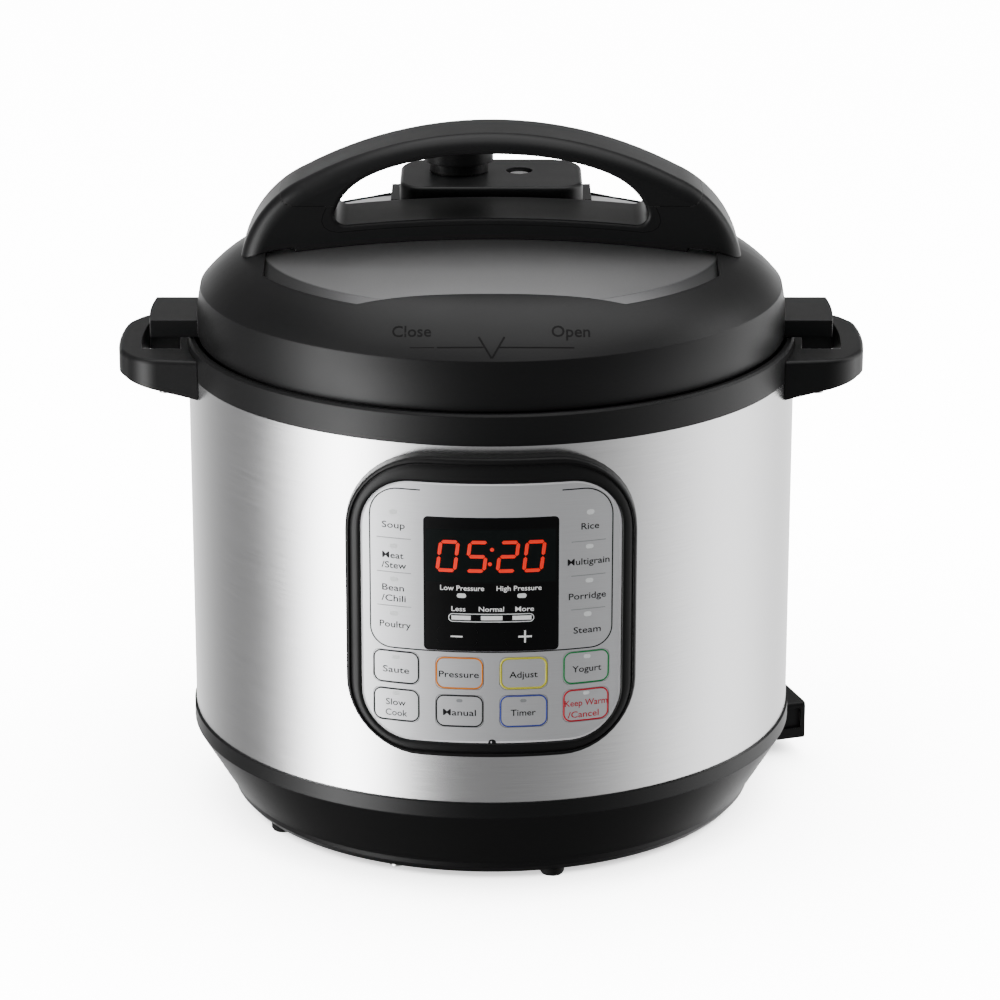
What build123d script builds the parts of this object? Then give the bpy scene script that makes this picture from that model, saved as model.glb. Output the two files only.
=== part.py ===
from build123d import *
import os
from math import cos, radians, sin, sqrt

# Programmable electric pressure cooker, in millimetres.
# The origin is on the pot's axis, level with the bottoms of the feet.
# The front, with the control panel, faces -Y.

os.makedirs("parts", exist_ok=True)

BOTTOM_ALIGNED = (Align.CENTER, Align.CENTER, Align.MIN)

# ---------------------------------------------------------------- driving sizes
shell_r = 137.5
shell_wall = 0.8
shell_bottom = 45.0
shell_top = 208.0
ring_r = 137.6
ring_top = 221.8
trough_floor = 211.0

foot_count = 5
foot_angle = -76.0
foot_circle_r = 112.0
foot_r = 5.5
foot_height = 4.8
base_floor = 4.0

lug_count = 6
lug_span = 26.0

pot_inner_r = 110.0
pot_wall = 1.2
pot_floor = 67.0
pot_rim_top = 224.2

dome_top = 268.4
dome_sphere_r = 649.0
dome_r = 104.0
cover_r = 133.0
cover_bottom = 221.9
cover_window_r = 111.5
cover_window_x = 100.5
cover_window_y = 95.5

grip_half_depth = 21.0
valve_x = -15.0
float_x = 13.0
valve_y = 60.0
platform_top = 280.0

panel_r = 144.0
panel_centre_z = 134.6
bezel_r = 145.0


def dome_height(radius, depth=0.0):
    """Height at a radius of the lid's spherical dome, or of the sphere depth below it."""
    return dome_top - dome_sphere_r + sqrt((dome_sphere_r - depth) ** 2 - radius**2)


def ring_sector(inner_r, outer_r, span):
    """Face of a ring sector centred on the X axis, span in degrees."""
    half = span / 2
    with BuildSketch(mode=Mode.PRIVATE) as sector:
        with BuildLine():
            outer = CenterArc((0, 0), outer_r, -half, span)
            inner = CenterArc((0, 0), inner_r, -half, span)
            Line(outer @ 0, inner @ 0)
            Line(outer @ 1, inner @ 1)
        make_face()
    return sector.sketch


def polar_points(radius, count, first_angle):
    """Points evenly spaced on a circle about the axis."""
    angles = [radians(first_angle + 360 * i / count) for i in range(count)]
    return [(radius * cos(a), radius * sin(a)) for a in angles]


def dome_solid(lift):
    """Solid under the lid dome raised by lift, used to trim what stands on it."""
    edge = cover_r
    with BuildPart(mode=Mode.PRIVATE) as dome:
        with BuildSketch(Plane.XZ):
            with BuildLine():
                Line((0, 230), (0, dome_top + lift))
                ThreePointArc(
                    (0, dome_top + lift),
                    (edge / 2, dome_height(edge / 2) + lift),
                    (edge, dome_height(edge) + lift),
                )
                Polyline((edge, dome_height(edge) + lift), (edge, 230), (0, 230))
            make_face()
        revolve(axis=Axis.Z)
    return dome.part


# ---------------------------------------------------------------- base
foot_points = polar_points(foot_circle_r, foot_count, foot_angle)
base_screw_points = polar_points(foot_circle_r, foot_count, foot_angle + 36)
inlet_angle = 18.0
inlet_out = 153.0
inlet_width = 30.0
inlet_z = (7.6, 26.2)
inlet_height = inlet_z[1] - inlet_z[0]
inlet_mid = sum(inlet_z) / 2
inlet_dir = (cos(radians(inlet_angle)), sin(radians(inlet_angle)), 0)
inlet_side = (-inlet_dir[1], inlet_dir[0], 0)


def inlet_plane(radius):
    """Upright plane facing out along the power inlet, at a radius from the axis."""
    centre = (inlet_dir[0] * radius, inlet_dir[1] * radius, inlet_mid)
    return Plane(origin=centre, x_dir=inlet_side, z_dir=inlet_dir)


# Moulded plastic tub: tapered wall, plain band under the steel, ledge for the plate
with BuildPart() as base_housing:
    with BuildSketch(Plane.XZ):
        with BuildLine():
            Polyline((102, base_floor), (118, base_floor), (120.6, 7), (121.2, 9.5))
            ThreePointArc((121.2, 9.5), (129.4, 23), (138.4, 38))
            Polyline(
                (138.4, 38), (138.4, shell_bottom), (136.5, shell_bottom),
                (136.5, 52), (134.2, 52), (134.2, 38.5),
            )
            ThreePointArc((134.2, 38.5), (126.6, 24), (119.2, 12.5))
            Polyline((119.2, 12.5), (119.2, 7), (102, 7), (102, base_floor))
        make_face()
    revolve(axis=Axis.Z)
    with Locations(*[(x, y, base_floor) for x, y in foot_points]):
        Cylinder(foot_r + 0.1, 0.8, align=BOTTOM_ALIGNED, mode=Mode.SUBTRACT)
    with Locations(*[(x, y, base_floor) for x, y in base_screw_points]):
        Cylinder(2.2, 3, align=BOTTOM_ALIGNED, mode=Mode.SUBTRACT)
    with BuildSketch(inlet_plane(110)):
        Rectangle(inlet_width + 0.2, inlet_height + 0.2)
    extrude(amount=35, mode=Mode.SUBTRACT)
base_housing.part.label = "base_housing"
export_step(base_housing.part, "parts/base_housing.step")

# Vented bottom plate, laid on the housing's inner ledge
vent_rows = 3
with BuildPart() as base_plate:
    with Locations((0, 0, 7.0)):
        Cylinder(118.8, 2.4, align=BOTTOM_ALIGNED)
    for row in range(vent_rows):
        with PolarLocations(42 + 18 * row, 16 + 8 * row):
            with Locations((0, 0, 7.0)):
                Box(13, 3.2, 2.4, align=BOTTOM_ALIGNED, mode=Mode.SUBTRACT)
    with Locations(*[(x, y, 7.0) for x, y in base_screw_points]):
        Cylinder(1.7, 2.4, align=BOTTOM_ALIGNED, mode=Mode.SUBTRACT)
base_plate.part.label = "base_plate"
export_step(base_plate.part, "parts/base_plate.step")

# Five rubber feet, pressed into shallow sockets
with BuildPart() as rubber_feet:
    with Locations(*[(x, y, 0) for x, y in foot_points]):
        Cone(foot_r - 0.7, foot_r, 1.2, align=BOTTOM_ALIGNED)
    with Locations(*[(x, y, 1.2) for x, y in foot_points]):
        Cylinder(foot_r, foot_height - 1.2, align=BOTTOM_ALIGNED)
rubber_feet.part.label = "rubber_feet"
export_step(rubber_feet.part, "parts/rubber_feet.step")


def pan_head_screws(places, head_r, head_height, shank_r, shank_length):
    """Pan-head screws pointing up: head bottom at each place, with a cross recess."""
    with Locations(*places):
        Cylinder(head_r, head_height, align=BOTTOM_ALIGNED)
        Box(head_r * 1.3, 0.9, 0.9, align=BOTTOM_ALIGNED, mode=Mode.SUBTRACT)
        Box(0.9, head_r * 1.3, 0.9, align=BOTTOM_ALIGNED, mode=Mode.SUBTRACT)
    with Locations(*[(x, y, z + head_height) for x, y, z in places]):
        Cylinder(shank_r, shank_length, align=BOTTOM_ALIGNED)


with BuildPart() as base_screws:
    pan_head_screws([(x, y, 2.0) for x, y in base_screw_points], 3.6, 2.0, 1.65, 8.0)
base_screws.part.label = "base_screws"
export_step(base_screws.part, "parts/base_screws.step")

# ---------------------------------------------------------------- power inlet
blade_spacing = 7.0
blade_width = 4.0
blade_thickness = 2.0
inlet_back_r = 120.0
socket_floor_r = 135.0

with BuildPart() as inlet_housing:
    with BuildSketch(inlet_plane(inlet_back_r)):
        RectangleRounded(inlet_width, inlet_height, 2.0)
    extrude(amount=inlet_out - inlet_back_r)
    # Mouth of the socket
    with BuildSketch(inlet_plane(socket_floor_r)):
        RectangleRounded(24.0, 13.6, 3.0)
    extrude(amount=20, mode=Mode.SUBTRACT)
    # Hollow behind the blades' wall
    with BuildSketch(inlet_plane(inlet_back_r)):
        Rectangle(24.0, 13.6)
    extrude(amount=12, mode=Mode.SUBTRACT)
    # Blade slots
    with BuildSketch(inlet_plane(inlet_back_r)):
        with Locations((-blade_spacing, -1.5), (0, 2.0), (blade_spacing, -1.5)):
            Rectangle(blade_thickness + 0.1, blade_width + 0.1)
    extrude(amount=20, mode=Mode.SUBTRACT)
    # Shallow recess in the side that faces forward
    side_centre = Vector(*inlet_dir) * 145.5 - Vector(*inlet_side) * (inlet_width / 2)
    side_plane = Plane(
        origin=(side_centre.X, side_centre.Y, inlet_mid + 1.5),
        x_dir=inlet_dir,
        z_dir=tuple(-c for c in inlet_side),
    )
    with BuildSketch(side_plane):
        RectangleRounded(10.5, 10.0, 1.0)
    extrude(amount=-1.8, mode=Mode.SUBTRACT)
inlet_housing.part.label = "inlet_housing"
export_step(inlet_housing.part, "parts/inlet_housing.step")

with BuildPart() as inlet_pins:
    with BuildSketch(inlet_plane(124)):
        with Locations((-blade_spacing, -1.5), (0, 2.0), (blade_spacing, -1.5)):
            Rectangle(blade_thickness, blade_width)
    extrude(amount=24)
inlet_pins.part.label = "inlet_pins"
export_step(inlet_pins.part, "parts/inlet_pins.step")

# ---------------------------------------------------------------- shell and top ring
panel_opening = (94.0, 104.0)

with BuildPart() as outer_shell:
    with BuildSketch(Plane.XY.offset(shell_bottom)):
        Circle(shell_r)
        Circle(shell_r - shell_wall, mode=Mode.SUBTRACT)
    extrude(amount=shell_top - shell_bottom)
    with BuildSketch(Plane.XZ):
        with Locations((0, panel_centre_z)):
            Rectangle(*panel_opening)
    extrude(amount=shell_r + 5, mode=Mode.SUBTRACT)
outer_shell.part.label = "outer_shell"
export_step(outer_shell.part, "parts/outer_shell.step")

# Black rim with the condensation trough, and a drain spout over the rear cup
spout_end = 152.0
with BuildPart() as top_ring:
    with BuildSketch(Plane.XZ):
        with BuildLine():
            Polyline(
                (ring_r, shell_top), (ring_r, ring_top - 1), (ring_r - 1, ring_top),
                (134.7, ring_top), (134.7, trough_floor), (121, trough_floor),
                (121, 214.5), (118, 214.5), (118, 205), (134, 205), (134, 200),
                (136.4, 200), (136.4, shell_top), close=True,
            )
        make_face()
    revolve(axis=Axis.Z)
    with BuildSketch(Plane.XY.offset(shell_top + 0.5)):
        with Locations((0, 136 + (spout_end - 136) / 2)):
            RectangleRounded(18, spout_end - 136, 3)
    extrude(amount=6)
    with BuildSketch(Plane.XY.offset(trough_floor)):
        with Locations((0, 140)):
            Rectangle(12, 19)
    extrude(amount=4, mode=Mode.SUBTRACT)
    with Locations((0, 145.5, shell_top)):
        Cylinder(3, 6, align=BOTTOM_ALIGNED, mode=Mode.SUBTRACT)
top_ring.part.label = "top_ring"
export_step(top_ring.part, "parts/top_ring.step")

# ---------------------------------------------------------------- side handles
handle_top = 217.5
handle_low = 199.0
handle_out = 168.8
handle_screw_y = 31.0
fin_r = 154.6
fin_half_width = 20.0


def side_handle(side):
    """Bracket handle with the slot that holds the lid's fin; side is -1 or 1."""
    with BuildPart() as handle:
        with BuildSketch(Plane.XY.offset(handle_low)) as plan:
            with BuildLine():
                Polyline(
                    (side * 167, -24), (side * 158.5, -39.5), (side * 128, -43.5),
                    (side * 128, 43.5), (side * 158.5, 39.5), (side * 167, 24),
                )
                ThreePointArc((side * 167, 24), (side * handle_out, 0), (side * 167, -24))
            make_face()
            fillet([v for v in plan.vertices() if abs(v.X) > 150], 18)
        extrude(amount=handle_top - handle_low)
        # Underside rises towards the tip
        with BuildSketch(Plane.XZ.offset(-60)):
            with BuildLine():
                Polyline(
                    (side * 172, 198), (side * 172, 208.3), (side * 128, 199.2), (side * 128, 198),
                    close=True,
                )
            make_face()
        extrude(amount=120, mode=Mode.SUBTRACT)
        with Locations((0, 0, handle_low - 2)):
            Cylinder(ring_r + 0.05, 30, align=BOTTOM_ALIGNED, mode=Mode.SUBTRACT)
        rims = handle.faces().sort_by(Axis.Z)[-1].edges()
        fillet([e for e in rims if abs(e.center().X) > 140], 2.0)
        # Slot for the fin, cut on the lid's own turning circle
        with BuildSketch(Plane.XY.offset(handle_low - 2)):
            Circle(158.5)
            Circle(141.0, mode=Mode.SUBTRACT)
            with Locations((side * 150, 0)):
                Rectangle(40, 2 * fin_half_width + 2.6, mode=Mode.INTERSECT)
        extrude(amount=30, mode=Mode.SUBTRACT)
        # Screw holes from below
        with Locations((side * 146, handle_screw_y, 190), (side * 146, -handle_screw_y, 190)):
            Cylinder(1.7, 24, align=BOTTOM_ALIGNED, mode=Mode.SUBTRACT)
        Cylinder(3.2, 12.4, align=BOTTOM_ALIGNED, mode=Mode.SUBTRACT)
    return handle


handle_left = side_handle(-1)
handle_left.part.label = "handle_left"
export_step(handle_left.part, "parts/handle_left.step")

handle_right = side_handle(1)
handle_right.part.label = "handle_right"
export_step(handle_right.part, "parts/handle_right.step")

handle_screw_z = 200.3
with BuildPart() as handle_screws:
    pan_head_screws(
        [(sx * 146, sy * handle_screw_y, handle_screw_z) for sx in (-1, 1) for sy in (-1, 1)],
        3.0, 2.0, 1.65, 11.0,
    )
handle_screws.part.label = "handle_screws"
export_step(handle_screws.part, "parts/handle_screws.step")

# ---------------------------------------------------------------- pots and heater
flange_z = (221.4, 223.0)
flange_r = 126.2
lug_r = 128.8
outer_pot_inner_r = 114.0

with BuildPart() as outer_pot:
    with BuildSketch(Plane.XZ):
        with BuildLine():
            Polyline(
                (82, 58), (outer_pot_inner_r + 1, 58), (outer_pot_inner_r + 1, flange_z[0]),
                (flange_r, flange_z[0]), (flange_r, flange_z[1]), (outer_pot_inner_r, flange_z[1]),
                (outer_pot_inner_r, 59), (82, 59), close=True,
            )
        make_face()
    revolve(axis=Axis.Z)
    with BuildSketch(Plane.XY.offset(flange_z[0])):
        with PolarLocations(0, lug_count):
            add(ring_sector(flange_r - 1, lug_r, lug_span))
    extrude(amount=flange_z[1] - flange_z[0])
outer_pot.part.label = "outer_pot"
export_step(outer_pot.part, "parts/outer_pot.step")

# Drawn stainless cooking pot; its rim rests on the outer pot's flange
rim_r = 122.5
with BuildPart() as inner_pot:
    with BuildSketch(Plane.XZ):
        outer_r = pot_inner_r + pot_wall
        with BuildLine():
            Polyline((0, pot_floor), (outer_r - 12, pot_floor))
            ThreePointArc(
                (outer_r - 12, pot_floor), (outer_r - 3.5, pot_floor + 3.5), (outer_r, pot_floor + 12)
            )
            Polyline(
                (outer_r, pot_floor + 12), (outer_r, flange_z[1] + 0.05), (rim_r, flange_z[1] + 0.05),
                (rim_r, pot_rim_top), (pot_inner_r, pot_rim_top), (pot_inner_r, pot_floor + 12),
            )
            ThreePointArc(
                (pot_inner_r, pot_floor + 12),
                (outer_r - 3.5 - 0.85, pot_floor + 3.5 + 0.85),
                (outer_r - 12, pot_floor + pot_wall),
            )
            Polyline((outer_r - 12, pot_floor + pot_wall), (0, pot_floor + pot_wall), (0, pot_floor))
        make_face()
    revolve(axis=Axis.Z)
inner_pot.part.label = "inner_pot"
export_step(inner_pot.part, "parts/inner_pot.step")

# Cast aluminium plate under the pot, with a well for the sprung sensor
sensor_r = 11.0
plate_z = (59.1, 66.7)
with BuildPart() as heating_plate:
    with Locations((0, 0, plate_z[0])):
        Cylinder(92, plate_z[1] - plate_z[0], align=BOTTOM_ALIGNED)
        Cylinder(sensor_r + 1, plate_z[1] - plate_z[0], align=BOTTOM_ALIGNED, mode=Mode.SUBTRACT)
    chamfer(heating_plate.edges().group_by(Axis.Z)[-1].sort_by(SortBy.LENGTH)[-1:], 2.0)
heating_plate.part.label = "heating_plate"
export_step(heating_plate.part, "parts/heating_plate.step")

# Tubular element cast against the plate's underside
coil_wire_r = 4.0
with BuildPart() as heating_coil:
    with Locations((0, 0, plate_z[0] - coil_wire_r)):
        Torus(62, coil_wire_r)
        Torus(40, coil_wire_r)
heating_coil.part.label = "heating_coil"
export_step(heating_coil.part, "parts/heating_coil.step")

# Strap below the heater that carries the sensor's spring and the thermal fuse
strap_z = 44.0
with BuildPart() as heater_bracket:
    with BuildSketch(Plane.XZ.offset(-9)):
        with BuildLine():
            Polyline(
                (-104, 57.9), (-88, 57.9), (-88, strap_z + 1.5), (88, strap_z + 1.5), (88, 57.9),
                (104, 57.9), (104, 56.4), (89.5, 56.4), (89.5, strap_z), (-89.5, strap_z),
                (-89.5, 56.4), (-104, 56.4), close=True,
            )
        make_face()
    extrude(amount=18)
heater_bracket.part.label = "heater_bracket"
export_step(heater_bracket.part, "parts/heater_bracket.step")

with BuildPart() as thermal_fuse:
    with Locations((28, 0, strap_z + 1.6)):
        Box(14, 12, 5, align=BOTTOM_ALIGNED)
    with Locations((28, 0, strap_z + 6.6)):
        Cylinder(5, 1.8, align=BOTTOM_ALIGNED)
thermal_fuse.part.label = "thermal_fuse"
export_step(thermal_fuse.part, "parts/thermal_fuse.step")

with BuildPart() as sensor_button:
    with Locations((0, 0, plate_z[0] - 2)):
        Cylinder(sensor_r, plate_z[1] + 0.1 - plate_z[0] + 2, align=BOTTOM_ALIGNED)
    with Locations((0, 0, strap_z + 8)):
        Cylinder(4.0, plate_z[0] - 2 - strap_z - 8, align=BOTTOM_ALIGNED)
sensor_button.part.label = "sensor_button"
export_step(sensor_button.part, "parts/sensor_button.step")

spring_wire_r = 0.6
with BuildPart() as sensor_spring:
    with BuildLine():
        spring_path = Helix(pitch=2.4, height=9.6, radius=6.0, center=(0, 0, strap_z + 2.3))
    with BuildSketch(Plane(origin=spring_path @ 0, z_dir=spring_path % 0)):
        Circle(spring_wire_r)
    sweep(path=spring_path)
sensor_spring.part.label = "sensor_spring"
export_step(sensor_spring.part, "parts/sensor_spring.step")

# ---------------------------------------------------------------- power board
board_z = 16.0
with BuildPart() as power_board:
    with Locations((-35, 20, board_z)):
        Box(78, 108, 1.6, align=BOTTOM_ALIGNED)
    standoffs = [(-35 + sx * 34, 20 + sy * 49, 9.5) for sx in (-1, 1) for sy in (-1, 1)]
    with Locations(*standoffs):
        Cylinder(3, board_z - 9.5, align=BOTTOM_ALIGNED)
    with Locations((-50, 50, board_z + 1.6)):
        Box(32, 28, 22, align=BOTTOM_ALIGNED)
    with Locations((-15, 55, board_z + 1.6)):
        Box(20, 16, 16, align=BOTTOM_ALIGNED)
    with Locations((-55, 8, board_z + 1.6), (-55, -12, board_z + 1.6)):
        Cylinder(7, 20, align=BOTTOM_ALIGNED)
    with Locations((-20, 0, board_z + 1.6)):
        Box(4, 50, 22, align=BOTTOM_ALIGNED)
power_board.part.label = "power_board"
export_step(power_board.part, "parts/power_board.step")

# ---------------------------------------------------------------- control panel
# Front parts are cut from cylinders about the pot's axis, so they follow the shell.
overlay_half_width = 55.9
overlay_top = 193.4
overlay_bottom = 75.8
overlay_back_r = 141.5
display_half_width = 28.9
display_z = (118.0, 178.3)
key_back_r = 142.4
key_travel = 0.4
key_gap = 0.2
display_back_r = 142.6


def cylinder_slice(front_outline, inner_r, outer_r):
    """Front outline, in the XZ plane, cut out of a tube between two radii."""
    with BuildPart(mode=Mode.PRIVATE) as piece:
        with BuildSketch(Plane.XZ):
            add(front_outline)
        extrude(amount=outer_r + 10)
        Cylinder(outer_r, 300, align=BOTTOM_ALIGNED, mode=Mode.INTERSECT)
        Cylinder(inner_r, 300, align=BOTTOM_ALIGNED, mode=Mode.SUBTRACT)
    return piece.part


bezel_half_width = 62.6
bezel_z = (69.2, 204.6)
bezel_low_r = 32.0
bezel_high_r = 36.0

# Rounded outline whose upper corners are fuller than the lower ones
low_x = bezel_half_width - bezel_low_r
high_x = bezel_half_width - bezel_high_r
low_z = bezel_z[0] + bezel_low_r
high_z = bezel_z[1] - bezel_high_r
with BuildSketch(Plane.XY) as bezel_outline:
    with BuildLine():
        Line((-low_x, bezel_z[0]), (low_x, bezel_z[0]))
        CenterArc((low_x, low_z), bezel_low_r, -90, 90)
        Line((bezel_half_width, low_z), (bezel_half_width, high_z))
        CenterArc((high_x, high_z), bezel_high_r, 0, 90)
        Line((high_x, bezel_z[1]), (-high_x, bezel_z[1]))
        CenterArc((-high_x, high_z), bezel_high_r, 90, 90)
        Line((-bezel_half_width, high_z), (-bezel_half_width, low_z))
        CenterArc((-low_x, low_z), bezel_low_r, 180, 90)
    make_face()


def overlay_outline(margin):
    """Rounded rectangle of the silver overlay, grown by margin all round."""
    with BuildSketch(mode=Mode.PRIVATE) as outline:
        with Locations((0, (overlay_top + overlay_bottom) / 2)):
            RectangleRounded(
                2 * (overlay_half_width + margin), overlay_top - overlay_bottom + 2 * margin, 22 + margin
            )
    return outline.sketch


with BuildSketch() as board_opening:
    with Locations((0, panel_centre_z)):
        Rectangle(panel_opening[0] - 2, panel_opening[1] - 2)

with BuildPart() as panel_bezel:
    add(cylinder_slice(bezel_outline.sketch, shell_r + 0.1, bezel_r))
    add(cylinder_slice(overlay_outline(0.15), overlay_back_r, bezel_r + 2), mode=Mode.SUBTRACT)
    add(cylinder_slice(board_opening.sketch, shell_r - 5, bezel_r), mode=Mode.SUBTRACT)
panel_bezel.part.label = "panel_bezel"
export_step(panel_bezel.part, "parts/panel_bezel.step")

# Key pads: name, centre x, centre z, width, height
key_table = [
    ("key_soup", -41.4, 177.4, 19.6, 16.4),
    ("key_stew", -41.4, 160.0, 19.6, 13.4),
    ("key_beans", -41.4, 144.4, 19.6, 13.4),
    ("key_poultry", -41.4, 128.4, 19.6, 14.6),
    ("key_rice", 41.4, 177.4, 19.6, 16.4),
    ("key_grain", 41.4, 160.0, 19.6, 13.4),
    ("key_porridge", 41.4, 144.4, 19.6, 13.4),
    ("key_steam", 41.4, 128.4, 19.6, 14.6),
    ("key_saute", -41.0, 108.8, 20.6, 14.8),
    ("key_slow_cook", -41.0, 91.4, 20.6, 14.8),
    ("key_pressure", -13.7, 107.8, 20.6, 14.6),
    ("key_manual", -13.7, 90.4, 20.6, 14.6),
    ("key_adjust", 14.0, 107.8, 20.6, 14.6),
    ("key_timer", 14.0, 90.4, 20.6, 14.6),
    ("key_yogurt", 41.0, 108.8, 20.6, 14.8),
    ("key_off", 41.0, 91.4, 20.6, 14.8),
    ("key_minus", -14.6, 124.7, 17.0, 9.0),
    ("key_plus", 14.6, 124.7, 17.0, 9.0),
]
key_corner_r = 3.0


def key_plane(x, z):
    """Plane touching the panel's face at a key's centre, facing straight out."""
    depth = sqrt(panel_r**2 - x**2)
    return Plane(origin=(x, -depth, z), x_dir=(depth, x, 0), z_dir=(x, -depth, 0))


def key_block(x, z, width, height, margin):
    """Pad outline grown by margin and pushed through the panel at its own angle."""
    with BuildPart(mode=Mode.PRIVATE) as block:
        with BuildSketch(key_plane(x, z)):
            RectangleRounded(width + 2 * margin, height + 2 * margin, key_corner_r + margin)
        extrude(amount=6, both=True)
    return block.part


def display_outline(margin):
    """Rectangle of the black display window, grown by margin all round."""
    with BuildSketch(mode=Mode.PRIVATE) as outline:
        with Locations((0, sum(display_z) / 2)):
            RectangleRounded(
                2 * (display_half_width + margin), display_z[1] - display_z[0] + 2 * margin, 2
            )
    return outline.sketch


with BuildPart() as panel_overlay:
    add(cylinder_slice(overlay_outline(0), overlay_back_r + 0.05, panel_r))
    add(cylinder_slice(display_outline(0.05), overlay_back_r - 2, panel_r + 2), mode=Mode.SUBTRACT)
    for name, x, z, width, height in key_table:
        add(key_block(x, z, width, height, key_gap), mode=Mode.SUBTRACT)
panel_overlay.part.label = "panel_overlay"
export_step(panel_overlay.part, "parts/panel_overlay.step")

with BuildPart() as display_window:
    add(cylinder_slice(display_outline(0), display_back_r, panel_r))
    for name, x, z, width, height in key_table[-2:]:
        add(key_block(x, z, width, height, key_gap), mode=Mode.SUBTRACT)
display_window.part.label = "display_window"
export_step(display_window.part, "parts/display_window.step")

for name, x, z, width, height in key_table:
    with BuildPart() as key:
        Cylinder(panel_r, 260, align=BOTTOM_ALIGNED)
        Cylinder(key_back_r, 260, align=BOTTOM_ALIGNED, mode=Mode.SUBTRACT)
        add(key_block(x, z, width, height, 0), mode=Mode.INTERSECT)
    key.part.label = name
    export_step(key.part, f"parts/{name}.step")

# Digit module and circuit board behind the panel, with one switch under every key
board_front = -131.0
board_thickness = 1.6
with BuildPart() as led_display:
    with Locations((0, (board_front - 139.5) / 2, 160.6)):
        Box(50, abs(-139.5 - board_front), 22)
led_display.part.label = "led_display"
export_step(led_display.part, "parts/led_display.step")

switch_size = 6.0
with BuildPart() as control_board:
    with Locations((0, board_front + board_thickness / 2, panel_centre_z)):
        Box(90, board_thickness, 100)
    for name, x, z, width, height in key_table:
        inner_x = abs(x) + switch_size / 2
        switch_front = -sqrt((key_back_r - key_travel - 0.6) ** 2 - inner_x**2)
        if switch_front < board_front - 1:
            with Locations((x, (switch_front + board_front) / 2, z)):
                Box(switch_size, board_front - switch_front, switch_size)
control_board.part.label = "control_board"
export_step(control_board.part, "parts/control_board.step")

# ---------------------------------------------------------------- condensation cup
cup_z = (152.0, 205.0)
cup_out = 168.0
cup_half_width = 29.0
cup_wall = 1.8
bracket_out = 141.0

with BuildPart() as cup_bracket:
    with BuildSketch(Plane.XY.offset(cup_z[0] - 4)):
        with Locations((0, 138)):
            Rectangle(66, 6)
        Circle(shell_r + 0.1, mode=Mode.SUBTRACT)
    extrude(amount=cup_z[1] - cup_z[0] + 2)
    # Two tongues that the cup's ears snap over
    with Locations((-20, bracket_out + 1.5, 178), (20, bracket_out + 1.5, 178)):
        Box(8, 3, 14)
cup_bracket.part.label = "cup_bracket"
export_step(cup_bracket.part, "parts/cup_bracket.step")

with BuildPart() as condensation_cup:
    with BuildSketch(Plane.XY.offset(cup_z[0])) as cup_plan:
        with Locations((0, (bracket_out + 0.3 + cup_out) / 2)):
            Rectangle(2 * cup_half_width, cup_out - bracket_out - 0.3)
        fillet(cup_plan.vertices().group_by(Axis.Y)[-1], 9)
    extrude(amount=cup_z[1] - cup_z[0])
    cup_faces = condensation_cup.faces().sort_by(Axis.Z)
    offset(amount=-cup_wall, openings=cup_faces[-1])
    # Pockets in the cup's back wall that take the tongues
    with Locations((-20, bracket_out + 1.5, 178), (20, bracket_out + 1.5, 178)):
        Box(8.6, 3.6, 14.6, mode=Mode.SUBTRACT)
condensation_cup.part.label = "condensation_cup"
export_step(condensation_cup.part, "parts/condensation_cup.step")

# ---------------------------------------------------------------- lid: pan and cover
pan_skirt_r = 130.6
pan_wall = 1.5
lid_lug_z = (219.2, 221.1)
lid_lug_inner_r = 126.7
lid_screw_x = 62.0

with BuildPart() as lid_pan:
    with BuildSketch(Plane.XZ):
        skirt_in = pan_skirt_r - pan_wall
        inner_edge = dome_r - 0.9
        with BuildLine():
            ThreePointArc(
                (0, dome_top), (dome_r / 2, dome_height(dome_r / 2)), (dome_r, dome_height(dome_r))
            )
            ThreePointArc((dome_r, dome_height(dome_r)), (119, 250.2), (pan_skirt_r, 234))
            Polyline((pan_skirt_r, 234), (pan_skirt_r, 216), (skirt_in, 216), (skirt_in, 233.8))
            ThreePointArc(
                (skirt_in, 233.8), (117.9, 249.1), (inner_edge, dome_height(inner_edge, pan_wall))
            )
            ThreePointArc(
                (inner_edge, dome_height(inner_edge, pan_wall)),
                (dome_r / 2, dome_height(dome_r / 2, pan_wall)),
                (0, dome_height(0, pan_wall)),
            )
            Line((0, dome_top - pan_wall), (0, dome_top))
        make_face()
    revolve(axis=Axis.Z)
    # Seat for the sealing ring, welded inside the shoulder
    with BuildSketch(Plane.XY.offset(236.7)):
        Circle(128.4)
        Circle(106.6, mode=Mode.SUBTRACT)
    extrude(amount=1.4)
    # Bayonet lugs, under the outer pot's lugs when closed
    with BuildSketch(Plane.XY.offset(lid_lug_z[0])):
        with PolarLocations(0, lug_count):
            add(ring_sector(lid_lug_inner_r, skirt_in + 0.5, lug_span))
    extrude(amount=lid_lug_z[1] - lid_lug_z[0])
    with Locations((valve_x, valve_y, 240)):
        Cylinder(4.3, 40, align=BOTTOM_ALIGNED, mode=Mode.SUBTRACT)
    with Locations((float_x, valve_y, 240)):
        Cylinder(3.8, 40, align=BOTTOM_ALIGNED, mode=Mode.SUBTRACT)
    with Locations((-lid_screw_x, 0, 240), (lid_screw_x, 0, 240)):
        Cylinder(2.1, 40, align=BOTTOM_ALIGNED, mode=Mode.SUBTRACT)
lid_pan.part.label = "lid_pan"
export_step(lid_pan.part, "parts/lid_pan.step")

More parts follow.
